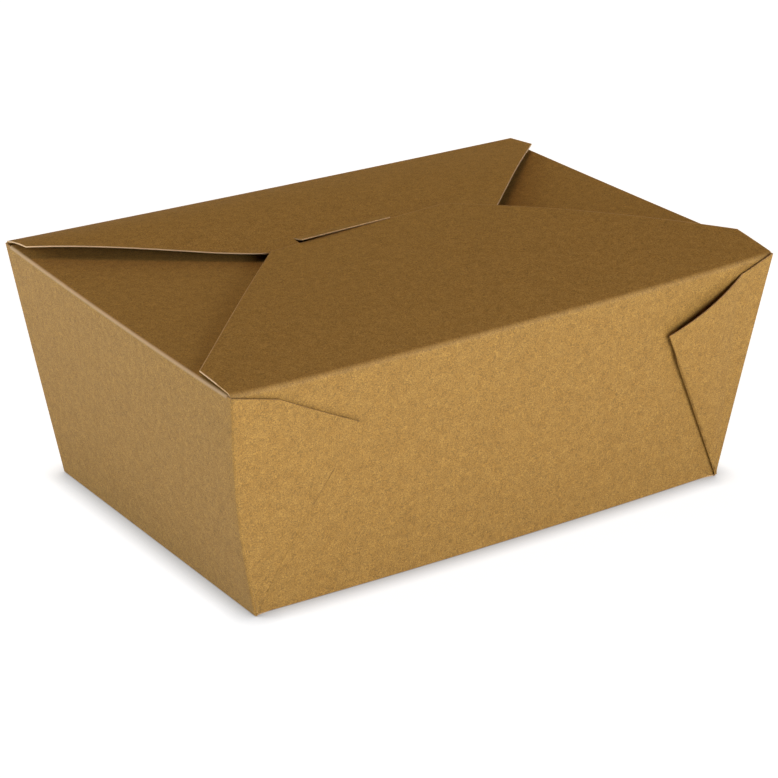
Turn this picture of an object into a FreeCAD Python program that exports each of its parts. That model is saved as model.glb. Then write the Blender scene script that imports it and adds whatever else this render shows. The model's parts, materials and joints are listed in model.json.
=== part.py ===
import FreeCAD, Part

import os

import Sketcher
from FreeCAD import Placement, Rotation, Vector

# A kraft takeaway box folded from one sheet of board, closed by four top flaps.
#
# The box stands on its base with +Z up. Its long walls face -Y and +Y, and the origin is the middle
# of the base, on the table. The carton is the base, four leaning walls, a web folded double at each
# corner and laid flat on the long wall, two end flaps, and the back flap with its slit and tab.
# The front flap opens first, so it is a piece of its own, hinged on its crease, and its tongue is
# tucked under the back flap's tab.

SIZES = {
    # outside sizes at the base and at the creases, over the gussets
    "base_length": 197.0,
    "base_width": 140.2,
    "rim_length": 221.5,
    "rim_width": 162.7,
    "rim_height": 87.0,
    # the board, the outside radius of its folds, and the air between layers that lie together
    "board": 0.45,
    "fold_radius": 0.7,
    "layer_gap": 0.15,
    # a corner gusset: its tip along the diagonal fold, and the shoulder of its top edge
    "gusset_reach": 76.0,
    "gusset_shoulder_inset": 17.8,
    "gusset_shoulder_drop": 5.6,
    # the end flaps, which lie lowest
    "end_flap_length": 78.0,
    "end_flap_inset": 3.5,
    "end_flap_shoulder": 10.0,
    "end_flap_tip_width": 84.0,
    "end_flap_droop": 1.9,
    # how far past the middle the front flap comes, and how far it lies over the back flap
    "front_flap_reach": 20.4,
    "flap_overlap": 17.7,
    # the back flap, and the heights of its lock line and front edge above its crease
    "flap_side_inset": 1.0,
    "back_shoulder": 14.5,
    "back_tip_left": 15.0,
    "back_tip_right": 51.0,
    "back_lock_rise_left": -0.7,
    "back_lock_rise_right": 4.2,
    "back_tip_rise_left": -2.6,
    "back_tip_rise_right": 5.2,
    "back_bow_left": 2.4,
    "back_bow_right": 0.4,
    # the front flap
    "front_shoulder": 18.3,
    "front_tip_left": 36.9,
    "front_tip_right": 39.0,
    "front_bow_left": 1.5,
    "front_bow_right": 1.8,
    # the lock: a tab cut in the back flap, and the front flap's tongue below it
    "slit_length": 38.3,
    "slit_offset": -2.65,
    "slit_gap": 0.3,
    "tab_length": 5.7,
    "tongue_length": 12.0,
    "tongue_width": 28.0,
    "tongue_offset": 1.9,
    "tongue_corner": 3.0,
}

DERIVED = {}


def expr(text):
    """Puts the sheet's cells and the derived sizes in the place of each {word}."""
    cells = {name: f"sizes.{name}" for name in SIZES}
    return text.format(**cells, **DERIVED)


def derive(name, text):
    """Names a size that follows from others."""
    DERIVED[name] = f"({expr(text)})"


# how far each wall leans out for each millimetre up, and its slope's length over its height
derive("lean_x", "({rim_length} - {base_length}) / 2 / {rim_height}")
derive("lean_y", "({rim_width} - {base_width}) / 2 / {rim_height}")
derive("slant_x", "sqrt(1 + {lean_x} * {lean_x})")
derive("slant_y", "sqrt(1 + {lean_y} * {lean_y})")
# a board with the air beside it, and the two layers of a gusset
derive("layer", "{board} + {layer_gap}")
derive("stack", "2 * {layer}")
derive("fold_inside", "{fold_radius} - {board}")
# the tray ends where the folds of the short walls begin
derive("tray_height", "{rim_height} - {fold_radius} * (1 + {lean_x} / {slant_x})")
derive("end_face", "{base_length} / 2 + {lean_x} * {tray_height}")
derive("long_face", "{base_width} / 2 - {stack} * {slant_y}")
derive("crease_half", "{rim_length} / 2 - {flap_side_inset}")
# a gusset in the plane of the long face: the corner edge's lean and half the web's angle
derive("corner_lean", "atan({lean_x} / {slant_y})")
derive("web_half", "(90deg - {corner_lean} - atan({lean_y} / {slant_x})) / 2")
derive("diagonal_lean", "{web_half} - {corner_lean}")
derive("face_top", "{rim_height} * {slant_y}")
# the back fold: where its arc starts on the wall, and the arc's centre
derive("back_top", "{rim_height} + {layer}")
derive("back_fold_z", "{back_top} - {fold_radius}")
derive("back_bend_z", "{back_fold_z} - {fold_radius} * {lean_y} / {slant_y}")
derive("back_fold_y", "{long_face} + {lean_y} * {back_bend_z} - {fold_radius} / {slant_y}")
# the front flap's hinge line, and its rear edge
derive("hinge_z", "{rim_height} + {layer_gap} + {board} / 2")
derive("hinge_y", "-({long_face} + {lean_y} * {hinge_z} - {board} / 2)")
derive("rear_y", "{front_flap_reach}")
derive("front_flap_length", "{rear_y} - {hinge_y}")
# the lock: the tab's free edge, the line it bends on, and the front edge of the back flap
derive("slit_y", "{rear_y} + {slit_gap}")
derive("lock_y", "{slit_y} + {tab_length}")
derive("back_tip_y", "{rear_y} - {flap_overlap}")
derive("slit_left", "{slit_offset} - {slit_length} / 2")
derive("slit_right", "{slit_offset} + {slit_length} / 2")
derive("tongue_left", "{tongue_offset} - {tongue_width} / 2")
derive("tongue_right", "{tongue_offset} + {tongue_width} / 2")


def across(left, right, x):
    """The height at x on a line that joins two heights at the flaps' sides."""
    return expr(f"({left} + ({right} - {left}) * ({x} + {{crease_half}}) / 2 / {{crease_half}})")


def back_height(x, y):
    """The height of the back flap's top face in front of its lock line."""
    lock = across("{back_lock_rise_left}", "{back_lock_rise_right}", x)
    tip = across("{back_tip_rise_left}", "{back_tip_rise_right}", x)
    share = f"({{lock_y}} - {y}) / ({{lock_y}} - {{back_tip_y}})"
    return expr(f"({{back_top}} + {lock} + ({tip} - {lock}) * {share})")


def front_height(x):
    """The height of the front flap's underside at its rear edge, one gap above the back flap."""
    return expr(f"({back_height(x, '{rear_y}')} + {{layer_gap}})")


def bow_radius(run, rise, bow):
    """The radius of a shallow arc with that run, rise and height of bow."""
    return expr(f"((({run}) ^ 2 + ({rise}) ^ 2) / 8 / {bow} + {bow} / 2)")


def make_document():
    """The document and the sheet of its driving sizes."""
    document = FreeCAD.newDocument("takeaway_box")
    sheet = document.addObject("Spreadsheet::Sheet", "sizes")
    for row, (name, value) in enumerate(SIZES.items(), start=1):
        sheet.set(f"A{row}", name)
        sheet.set(f"B{row}", str(value))
        sheet.setAlias(f"B{row}", name)
    document.recompute()
    return document


def number(document, text):
    """What an expression comes to."""
    result = document.getObject("sizes").evalExpression(expr(text))
    return float(getattr(result, "Value", result))


def origin_plane(body, axes):
    """One of the body's own origin planes, such as XY."""
    for feature in body.Origin.OriginFeatures:
        if feature.Role == f"{axes}_Plane":
            return feature
    raise RuntimeError(f"{body.Label} has no plane {axes}")


def add_sketch(body, name, axes, base=("0", "0", "0"), axis=Vector(1, 0, 0), angle="0"):
    """A sketch on an origin plane of the body, moved by base and turned about an axis of its own."""
    sketch = body.newObject("Sketcher::SketchObject", name)
    sketch.AttachmentSupport = [(origin_plane(body, axes), "")]
    sketch.MapMode = "FlatFace"
    sketch.AttachmentOffset = Placement(Vector(0, 0, 0), Rotation(axis, 0))
    for letter, text in zip("xyz", base):
        sketch.setExpression(f".AttachmentOffset.Base.{letter}", expr(text))
    sketch.setExpression(".AttachmentOffset.Rotation.Angle", expr(angle))
    return sketch


def arc_between(start, end, radius, side):
    """An arc from start to end whose centre is on the left (side 1) or the right (side -1)."""
    chord = end - start
    half = chord.Length / 2
    left = Vector(-chord.y, chord.x, 0).normalize()
    centre = (start + end) / 2 + left * side * max(radius * radius - half * half, 0) ** 0.5
    first, last = (start, end) if side > 0 else (end, start)
    ray_one = first - centre
    ray_two = last - centre
    circle = Part.Circle(centre, Vector(0, 0, 1), radius)
    return Part.ArcOfCircle(circle, circle.parameter(centre + ray_one), circle.parameter(centre + ray_two))


def draw_outline(sketch, corners, arcs=None):
    """A closed outline. Its corners and the radii of its arcs are bound to the sheet's cells.

    arcs gives, for the edge after a corner, the arc's radius and the side its centre is on.
    """
    document = sketch.Document
    arcs = arcs or {}
    places = [Vector(number(document, x), number(document, y), 0) for x, y in corners]
    count = len(corners)
    first = sketch.GeometryCount
    starts = {}
    ends = {}
    for i, place in enumerate(places):
        following = places[(i + 1) % count]
        if i in arcs:
            text, side = arcs[i]
            sketch.addGeometry(arc_between(place, following, number(document, text), side), False)
            starts[i], ends[i] = (1, 2) if side > 0 else (2, 1)
        else:
            sketch.addGeometry(Part.LineSegment(place, following), False)
            starts[i], ends[i] = 1, 2
    for i in range(count):
        following = (i + 1) % count
        meet = Sketcher.Constraint(
            "Coincident", first + i, ends[i], first + following, starts[following])
        sketch.addConstraint(meet)
    for i, (x, y) in enumerate(corners):
        for kind, text, value in (("DistanceX", x, places[i].x), ("DistanceY", y, places[i].y)):
            fixed = Sketcher.Constraint(kind, -1, 1, first + i, starts[i], value)
            row = sketch.addConstraint(fixed)
            sketch.setExpression(f"Constraints[{row}]", expr(text))
    for i, (text, side) in arcs.items():
        row = sketch.addConstraint(Sketcher.Constraint("Radius", first + i, number(document, text)))
        sketch.setExpression(f"Constraints[{row}]", expr(text))


def add_feature(body, kind, name, sketch, length=None, reversed_way=False):
    """A pad or a pocket of that length, or right through where no length is given."""
    feature = body.newObject(f"PartDesign::{kind}", name)
    feature.Profile = sketch
    feature.Reversed = reversed_way
    if length is None:
        feature.Type = "ThroughAll"
    else:
        feature.setExpression("Length", expr(length))
    sketch.Visibility = False
    body.Tip = feature
    return feature


def add_wide_pad(body, name, sketch, width):
    """A pad that goes as far to both sides of its sketch."""
    pad = add_feature(body, "Pad", name, sketch, width)
    pad.SideType = "Symmetric"
    return pad


def add_loft(body, kind, name, sketches):
    """A ruled loft between sections."""
    loft = body.newObject(f"PartDesign::{kind}", name)
    loft.Profile = sketches[0]
    loft.Sections = sketches[1:]
    loft.Ruled = True
    body.Tip = loft
    return loft


def add_mirror(body, name, axes, features):
    """The same features on the far side of an origin plane."""
    mirror = body.newObject("PartDesign::Mirrored", name)
    mirror.Originals = features
    mirror.MirrorPlane = (origin_plane(body, axes), [""])
    body.Tip = mirror
    return mirror


def add_fillet(body, name, base, pick, radius):
    """A fillet on the edges of the base feature that pick chooses."""
    body.Document.recompute()
    chosen = [f"Edge{i}" for i, edge in enumerate(base.Shape.Edges, start=1) if pick(edge)]
    fillet = body.newObject("PartDesign::Fillet", name)
    fillet.Base = (base, chosen)
    fillet.setExpression("Radius", expr(radius))
    body.Tip = fillet
    return fillet


def add_frustum(body, kind, name, half_x, half_y, bottom, top):
    """An upright block whose half sizes at height 0 are given, and whose sides lean with the walls."""
    wedge = body.newObject(f"PartDesign::{kind}Wedge", name)
    wedge.AttachmentSupport = [(origin_plane(body, "XZ"), "")]
    wedge.MapMode = "FlatFace"
    wedge.setExpression("Ymin", expr(bottom))
    wedge.setExpression("Ymax", expr(top))
    for letter, half, lean in (("X", half_x, "{lean_x}"), ("Z", half_y, "{lean_y}")):
        for digit, height in (("", bottom), ("2", top)):
            reach = f"({half} + {lean} * {height})"
            wedge.setExpression(f"{letter}{digit}max", expr(reach))
            wedge.setExpression(f"{letter}{digit}min", expr(f"-{reach}"))
    body.Tip = wedge
    return wedge


def mirrored(points):
    """The same outline on the far side of the sketch's vertical axis, run the other way round."""
    return [(f"-({x})", y) for x, y in reversed(points)]


def web_point(from_corner, from_diagonal):
    """The point of a web at these distances inside its corner edge and its diagonal fold."""
    along = f"(({from_diagonal}) + ({from_corner}) * cos({{web_half}})) / sin({{web_half}})"
    x = f"{{base_length}} / 2 + {along} * sin({{corner_lean}}) - ({from_corner}) * cos({{corner_lean}})"
    y = f"{along} * cos({{corner_lean}}) + ({from_corner}) * sin({{corner_lean}})"
    return x, y


def diagonal_point(reach, inside):
    """The point at that reach along the diagonal fold, and that far inside it."""
    x = f"{{base_length}} / 2 - ({reach}) * sin({{diagonal_lean}}) + ({inside}) * cos({{diagonal_lean}})"
    y = f"({reach}) * cos({{diagonal_lean}}) + ({inside}) * sin({{diagonal_lean}})"
    return x, y


def end_wall_inset(thickness, depth):
    """How far in x a plane that thickness inside the short wall is from the corner edge, at that depth."""
    return f"(({thickness}) * {{slant_x}} - ({depth}) * {{lean_x}} * {{lean_y}} / {{slant_y}})"


def corner_point(height, inset):
    """The point at that height up the long face, and that far in x from its corner edge."""
    return f"{{base_length}} / 2 + tan({{corner_lean}}) * ({height}) - {inset}", height


def make_tray(body):
    """The base and the four walls, with the webs folded double on the outside of the long walls."""
    outer = add_frustum(body, "Additive", "outer_form", "{base_length} / 2", "{base_width} / 2",
                        "0", "{tray_height}")
    add_fillet(body, "outer_folds", outer, is_below_rim, "{fold_radius}")
    over = "{face_top} + 1"
    tip = diagonal_point("{gusset_reach}", "0")
    shoulder = ("{rim_length} / 2 - {gusset_shoulder_inset}",
                "({rim_height} - {gusset_shoulder_drop}) * {slant_y}")
    half_field = [("{base_length} / 2", "-1"), ("{base_length} / 2", "0"), tip, shoulder,
                  ("{rim_length} / 2", "{face_top}"), ("{rim_length} / 2", over)]
    field = add_face_sketch(body, "field_outline", "0")
    draw_outline(field, half_field + mirrored(half_field))
    field_cut = add_feature(body, "Pocket", "long_wall_field", field, "{stack}")
    fold_cut = round_long_fold(body)
    add_mirror(body, "back_wall_field", "XZ", [field_cut, fold_cut])
    add_frustum(body, "Subtractive", "inside_form", "({base_length} / 2 - {board} * {slant_x})",
                "({long_face} - {board} * {slant_y})", "{board}", "{tray_height}")


def add_face_sketch(body, name, depth):
    """A sketch in the plane of the front wall's gussets, or that far below it."""
    return add_sketch(body, name, "XZ", angle="atan({lean_y})",
                      base=("0", f"({depth}) * {{lean_y}} / {{slant_y}}",
                            f"{{base_width}} / 2 - ({depth}) / {{slant_y}}"))


def is_below_rim(edge):
    """Chooses every edge of the outer form but the four at its rim."""
    return edge.BoundBox.ZMin < 1


def round_long_fold(body):
    """Rounds the fold between the base and the front wall, from gusset to gusset."""
    tangent = "{fold_radius} * tan((90deg - atan({lean_y})) / 2)"
    on_base = f"-{{long_face}} + {tangent}"
    on_wall = (f"-{{long_face}} - {tangent} * {{lean_y}} / {{slant_y}}", f"{tangent} / {{slant_y}}")
    clear = "-{long_face} - 1"
    sketch = add_sketch(body, "long_fold_profile", "YZ")
    draw_outline(sketch, [on_wall, (clear, on_wall[1]), (clear, "-1"), (on_base, "-1"), (on_base, "0")],
                 {4: ("{fold_radius}", -1)})
    cut = add_feature(body, "Pocket", "long_base_fold", sketch, "{base_length} - 2 * {fold_radius}")
    cut.SideType = "Symmetric"
    return cut


def open_gussets(body):
    """The thin gaps between a gusset's layers, which follow the sheet as it folds back and forth."""
    over = "{face_top} + 1"
    past = "{gusset_reach} + 2"
    outer_inset = end_wall_inset("{board}", "{board}")
    outer_start = web_point(f"{outer_inset} * cos({{corner_lean}})", "{board}")

    # between the end of the folded long wall and the short wall
    wall_side = "{base_width} / 2 - {board} * ({slant_y} - {lean_x} * {lean_y} / {slant_x})"
    through = "{stack} * {slant_y} + 1"
    foot = outer_start[1]

    def on_end_wall(height, shift):
        return f"{wall_side} - ({shift}) + {{lean_y}} / {{slant_x}} * ({height})", height

    corner_half = [on_end_wall(foot, "0"), on_end_wall(over, "0"),
                   on_end_wall(over, through), on_end_wall(foot, through)]
    corner_sketch = add_sketch(body, "corner_gap_outline", "YZ", angle="-atan({lean_x})",
                               base=("0", "{board} * {lean_x} / {slant_x}",
                                     "{base_length} / 2 - {board} / {slant_x}"))
    draw_outline(corner_sketch, corner_half)
    draw_outline(corner_sketch, mirrored(corner_half))
    corner_gap = add_feature(body, "Pocket", "gusset_corner_gap", corner_sketch, "{layer_gap}")
    add_mirror(body, "left_corner_gaps", "YZ", [corner_gap])

    # between the gusset's two layers: closed along the diagonal fold
    outer_end = diagonal_point(past, "{board}")
    outer_half = [outer_start, corner_point(over, outer_inset), (outer_end[0], over), outer_end]
    outer_sketch = add_face_sketch(body, "outer_gap_outline", "{board}")
    draw_outline(outer_sketch, outer_half)
    draw_outline(outer_sketch, mirrored(outer_half))
    outer_gap = add_feature(body, "Pocket", "gusset_outer_gap", outer_sketch, "{layer_gap}")

    # between the inner layer and the long wall: closed along the corner
    inner_inset = end_wall_inset("{board} + {layer}", "{board} + {layer}")
    inner_start = web_point(f"{inner_inset} * cos({{corner_lean}})", "0")
    inner_end = diagonal_point(past, "-1")
    inner_half = [inner_start, corner_point(over, inner_inset), (inner_end[0], over), inner_end]
    inner_sketch = add_face_sketch(body, "inner_gap_outline", "{board} + {layer}")
    draw_outline(inner_sketch, inner_half)
    draw_outline(inner_sketch, mirrored(inner_half))
    inner_gap = add_feature(body, "Pocket", "gusset_inner_gap", inner_sketch, "{layer_gap}")
    return add_mirror(body, "back_gusset_gaps", "XZ", [outer_gap, inner_gap])


def add_end_flaps(body):
    """The short walls' folds and the two end flaps, which droop a little to their tips."""
    turn = "({end_flap_droop} * 1deg)"
    centre_x = "{end_face} - {fold_radius} / {slant_x}"
    centre_z = "{tray_height} + {fold_radius} * {lean_x} / {slant_x}"

    def on_fold(radius, at_flap):
        if at_flap:
            return (f"{centre_x} - {radius} * sin({turn})", f"{centre_z} + {radius} * cos({turn})")
        return (f"{centre_x} + {radius} / {{slant_x}}",
                f"{centre_z} - {radius} * {{lean_x}} / {{slant_x}}")

    profile = add_sketch(body, "end_fold_profile", "XZ")
    draw_outline(profile, [on_fold("{fold_radius}", False), on_fold("{fold_radius}", True),
                           on_fold("{fold_inside}", True), on_fold("{fold_inside}", False),
                           ("{end_face} - {board} * {slant_x}", "{tray_height}")],
                 {0: ("{fold_radius}", 1), 2: ("{fold_inside}", -1)})
    fold = add_wide_pad(body, "end_fold", profile, "{rim_width} - 2 * {end_flap_inset}")

    start = on_fold("{fold_radius}", True)
    outline = add_sketch(body, "end_flap_outline", "XY", base=(start[0], "0", start[1]),
                         axis=Vector(0, 1, 0), angle=f"-{turn}")
    half = "{rim_width} / 2 - {end_flap_inset}"
    side = [("0", half), ("-{end_flap_shoulder}", half),
            ("-{end_flap_length}", "{end_flap_tip_width} / 2")]
    draw_outline(outline, side + [(x, f"-({y})") for x, y in reversed(side)])
    flap = add_feature(body, "Pad", "end_flap", outline, "{board}", reversed_way=True)
    return add_mirror(body, "left_end_flap", "YZ", [fold, flap])


def add_wall_tops(body):
    """The long walls above the tray: up to the front flap's hinge, and round the back fold."""
    face = "{long_face} + {lean_y} * "
    inner = "{long_face} - {board} * {slant_y} + {lean_y} * "
    front = add_sketch(body, "front_wall_top", "YZ")
    draw_outline(front, [(f"-({inner}{{tray_height}})", "{tray_height}"),
                         (f"-({inner}{{rim_height}})", "{rim_height}"),
                         (f"-({face}{{rim_height}})", "{rim_height}"),
                         (f"-({face}{{tray_height}})", "{tray_height}")])
    add_wide_pad(body, "front_wall_edge", front, "2 * {crease_half}")
    back = add_sketch(body, "back_fold_profile", "YZ")
    inside_y = "{back_fold_y} + {fold_inside} / {slant_y}"
    inside_z = "{back_fold_z} - {fold_inside} * {lean_y} / {slant_y}"
    draw_outline(back, [(f"{face}{{tray_height}}", "{tray_height}"),
                        (f"{face}{{back_bend_z}}", "{back_bend_z}"),
                        ("{back_fold_y}", "{back_top}"),
                        ("{back_fold_y}", "{back_top} - {board}"),
                        (inside_y, inside_z),
                        (f"{inner}{{tray_height}}", "{tray_height}")],
                 {1: ("{fold_radius}", 1), 3: ("{fold_inside}", -1)})
    return add_wide_pad(body, "back_fold", back, "2 * {crease_half}")


def make_back_flap(document):
    """The back flap as a bowed and twisted sheet, with its slit and the tab bent up over the tongue."""
    body = document.addObject("PartDesign::Body", "back_flap_sheet")
    sections = []
    for side, sign in (("left", "-"), ("right", "")):
        x = f"{sign}{{crease_half}}"
        lock = expr(f"{{back_top}} + {{back_lock_rise_{side}}}")
        tip = expr(f"{{back_top}} + {{back_tip_rise_{side}}}")
        radius = bow_radius("{back_fold_y} - {lock_y}", f"{{back_lock_rise_{side}}}",
                            f"{{back_bow_{side}}}")
        sketch = add_sketch(body, f"back_flap_{side}", "YZ", base=("0", "0", x))
        draw_outline(sketch, [("{back_fold_y}", "{back_top}"), ("{lock_y}", lock),
                              ("{back_tip_y}", tip), ("{back_tip_y}", f"{tip} - {{board}}"),
                              ("{lock_y}", f"{lock} - {{board}}"),
                              ("{back_fold_y}", "{back_top} - {board}")],
                     {0: (radius, 1), 4: (radius, -1)})
        sections.append(sketch)
    add_loft(body, "AdditiveLoft", "back_flap_board", sections)

    outline = add_sketch(body, "back_flap_trim", "XY", base=("0", "0", "{rim_height} - 20"))
    shoulder_y = "{back_fold_y} - {back_shoulder}"
    past_y = "{back_tip_y} - 1"
    for sign, tip in (("-", "-{back_tip_left}"), ("", "{back_tip_right}")):
        side_x = f"{sign}{{crease_half}}"
        out_x = f"{sign}({{crease_half}} + 1)"
        draw_outline(outline, [(side_x, shoulder_y), (tip, "{back_tip_y}"), (tip, past_y),
                               (out_x, past_y), (out_x, shoulder_y)])
    draw_outline(outline, [("{slit_left}", "{slit_y} - {slit_gap}"),
                           ("{slit_right}", "{slit_y} - {slit_gap}"),
                           ("{slit_right}", "{lock_y}"), ("{slit_left}", "{lock_y}")])
    add_feature(body, "Pocket", "back_flap_outline", outline, "40", reversed_way=True)

    lift = "{stack}"
    tab = []
    for side, x in (("left", "({slit_left} + {slit_gap})"), ("right", "({slit_right} - {slit_gap})")):
        lock = back_height(x, "{lock_y}")
        free = expr(f"{back_height(x, '{slit_y}')} + {lift}")
        sketch = add_sketch(body, f"tab_{side}", "YZ", base=("0", "0", x))
        draw_outline(sketch, [("{lock_y}", lock), ("{slit_y}", free),
                              ("{slit_y}", f"{free} - {{board}}"), ("{lock_y}", f"{lock} - {{board}}")])
        tab.append(sketch)
    add_loft(body, "AdditiveLoft", "lock_tab", tab)
    return body


def make_carton(document):
    """The whole sheet but for the front flap."""
    body = document.addObject("PartDesign::Body", "carton")
    make_tray(body)
    open_gussets(body)
    add_end_flaps(body)
    add_wall_tops(body)
    flap = make_back_flap(document)
    joined = body.newObject("PartDesign::Boolean", "back_flap_joined")
    joined.setObjects([flap])
    joined.Type = "Fuse"
    body.Tip = joined
    return body


def make_front_flap(document):
    """The flap that opens first: a bowed and twisted sheet with a round root and a tongue."""
    body = document.addObject("PartDesign::Body", "front_flap")
    sections = []
    for side, sign in (("left", "-"), ("right", "")):
        x = f"{sign}{{crease_half}}"
        rear = front_height(x)
        rise = expr(f"({rear} + {{board}} / 2 - {{hinge_z}})")
        radius = bow_radius("{front_flap_length}", rise, f"{{front_bow_{side}}}")
        sketch = add_sketch(body, f"front_flap_{side}", "YZ", base=("0", "0", x))
        draw_outline(sketch, [("{hinge_y}", "{hinge_z} + {board} / 2"),
                              ("{hinge_y} - {board} / 2", "{hinge_z}"),
                              ("{hinge_y}", "{hinge_z} - {board} / 2"),
                              ("{rear_y}", rear), ("{rear_y}", f"{rear} + {{board}}")],
                     {0: ("{board} / 2", 1), 1: ("{board} / 2", 1), 2: (radius, -1), 4: (radius, 1)})
        sections.append(sketch)
    add_loft(body, "AdditiveLoft", "front_flap_board", sections)

    outline = add_sketch(body, "front_flap_trim", "XY", base=("0", "0", "{rim_height} - 20"))
    shoulder_y = "{hinge_y} + {front_shoulder}"
    past_y = "{rear_y} + 1"
    for sign, side in (("-", "left"), ("", "right")):
        tip = f"{sign}{{front_tip_{side}}}"
        side_x = f"{sign}{{crease_half}}"
        out_x = f"{sign}({{crease_half}} + 1)"
        draw_outline(outline, [(side_x, shoulder_y), (tip, "{rear_y}"), (tip, past_y),
                               (out_x, past_y), (out_x, shoulder_y)])
    add_feature(body, "Pocket", "front_flap_outline", outline, "40", reversed_way=True)

    tongue = []
    for side in ("left", "right"):
        x = f"{{tongue_{side}}}"
        root = front_height(x)
        under = expr(f"({back_height(x, '{lock_y}')} - 2 * {{board}} - {{layer_gap}})")
        end = expr(f"({root} + ({under} - {root}) * {{tongue_length}} / ({{lock_y}} - {{rear_y}}))")
        end_y = "{rear_y} + {tongue_length}"
        sketch = add_sketch(body, f"tongue_{side}_side", "YZ", base=("0", "0", x))
        draw_outline(sketch, [("{rear_y}", root), (end_y, end), (end_y, f"{end} + {{board}}"),
                              ("{rear_y}", f"{root} + {{board}}")])
        tongue.append(sketch)
    add_loft(body, "AdditiveLoft", "tongue", tongue)
    corners = add_sketch(body, "tongue_corner_outline", "XY", base=("0", "0", "{rim_height} - 20"))
    corner_y = "{rear_y} + {tongue_length} - {tongue_corner}"
    end_y = "{rear_y} + {tongue_length}"
    for side, inward, turn in (("{tongue_left}", "+", -1), ("{tongue_right}", "-", 1)):
        round_x = f"{side} {inward} {{tongue_corner}}"
        clear_x = f"{side} {inward} (-1)"
        draw_outline(corners, [(side, corner_y), (round_x, end_y), (round_x, f"{end_y} + 1"),
                               (clear_x, f"{end_y} + 1"), (clear_x, corner_y)],
                     {0: ("{tongue_corner}", turn)})
    add_feature(body, "Pocket", "tongue_corners", corners, "40", reversed_way=True)
    return body


def check(document, bodies):
    """Stops if any object failed, or a piece is not one valid solid."""
    for item in document.Objects:
        if {"Invalid", "Error"} & set(item.State):
            raise RuntimeError(f"{item.Label} is {item.State}")
    for body in bodies:
        shape = body.Shape
        if shape.isNull() or not shape.isValid() or len(shape.Solids) != 1:
            raise RuntimeError(f"{body.Label} is not one valid solid")


def main():
    document = make_document()
    bodies = [make_carton(document), make_front_flap(document)]
    document.recompute()
    check(document, bodies)
    os.makedirs("parts", exist_ok=True)
    for body in bodies:
        body.Shape.exportStep(f"parts/{body.Label}.step")
        box = body.Shape.BoundBox
        print(f"{body.Label}: {body.Shape.Volume / 1000:.1f} cm3, {len(body.Shape.Faces)} faces,"
              f" {box.XLength:.1f} x {box.YLength:.1f} x {box.ZLength:.1f} mm")


main()
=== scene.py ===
# %% [markdown]
# # A kraft takeaway box
# The object is a food carton folded from one sheet of brown kraft board. Its four walls lean outwards,
# each corner has a web folded double and pressed on the long wall, and four flaps close the top: two
# end flaps, a back flap with a slit, and a front flap whose tongue goes into that slit.
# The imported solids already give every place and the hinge. This lesson puts real board around them:
# thin sheets with soft folds, walls that bow a little, and the colour and tooth of kraft board.

# %% Load the frame
import json

import bpy
import numpy as np
from mathutils import Matrix, Vector


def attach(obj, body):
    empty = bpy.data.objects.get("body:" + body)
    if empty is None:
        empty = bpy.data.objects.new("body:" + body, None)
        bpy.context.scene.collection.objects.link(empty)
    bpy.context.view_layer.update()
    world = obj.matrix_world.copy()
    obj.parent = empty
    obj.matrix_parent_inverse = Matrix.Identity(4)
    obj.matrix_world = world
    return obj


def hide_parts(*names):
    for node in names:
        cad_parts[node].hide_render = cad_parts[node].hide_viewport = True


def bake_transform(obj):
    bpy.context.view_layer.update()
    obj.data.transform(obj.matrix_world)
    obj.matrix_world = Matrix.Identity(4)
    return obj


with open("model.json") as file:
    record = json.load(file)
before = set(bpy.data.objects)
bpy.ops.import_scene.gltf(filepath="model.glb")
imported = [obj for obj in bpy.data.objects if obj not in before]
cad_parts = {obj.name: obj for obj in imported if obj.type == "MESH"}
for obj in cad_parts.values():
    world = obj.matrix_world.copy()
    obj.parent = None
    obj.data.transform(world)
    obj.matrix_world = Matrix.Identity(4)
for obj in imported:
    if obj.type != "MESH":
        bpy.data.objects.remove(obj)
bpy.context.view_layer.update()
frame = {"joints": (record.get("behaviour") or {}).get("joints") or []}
MM = 0.001
hinge = np.array(frame["joints"][0]["pos_m"]) / MM
print("hinge line at y, z in mm:", hinge[1:].round(3))

# %% [markdown]
# ## The sizes of the folded sheet
# A carton maker draws a sheet from a few sizes: the base, the rim, the height and the board. The rest
# follows from them. How far a wall leans for each millimetre up is half of what the rim is larger than
# the base, divided by the height. Everything below is in millimetres until it becomes a mesh.

# %% Sizes
BASE_LENGTH, BASE_WIDTH = 197.0, 140.2
RIM_LENGTH, RIM_WIDTH, RIM_HEIGHT = 221.5, 162.7, 87.0
# a layer is the board and the thin gap to the next one
BOARD, LAYER = 0.45, 0.60
LEAN_X = (RIM_LENGTH - BASE_LENGTH) / 2 / RIM_HEIGHT
LEAN_Y = (RIM_WIDTH - BASE_WIDTH) / 2 / RIM_HEIGHT
SLANT_Y = np.hypot(1, LEAN_Y)
STACK = 2 * LAYER
LONG_FACE = BASE_WIDTH / 2 - STACK * SLANT_Y
CREASE_INSET = 1.0
CREASE_HALF = RIM_LENGTH / 2 - CREASE_INSET
# the x of the long creases' left and right ends
FRONT_ENDS, BACK_ENDS = (-110.4, 112.2), (-110.3, 111.0)
print("walls lean", np.degrees(np.arctan([LEAN_X, LEAN_Y])).round(2), "degrees")

# %% [markdown]
# ## The camera
# The photograph was taken from the front left, about a metre away and 23 degrees above the table. A
# camera can be placed by its angles: azimuth round the box, elevation above the table and a small roll.
# The direction back to the camera follows from the first two, and the other two axes are square to it.

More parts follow.
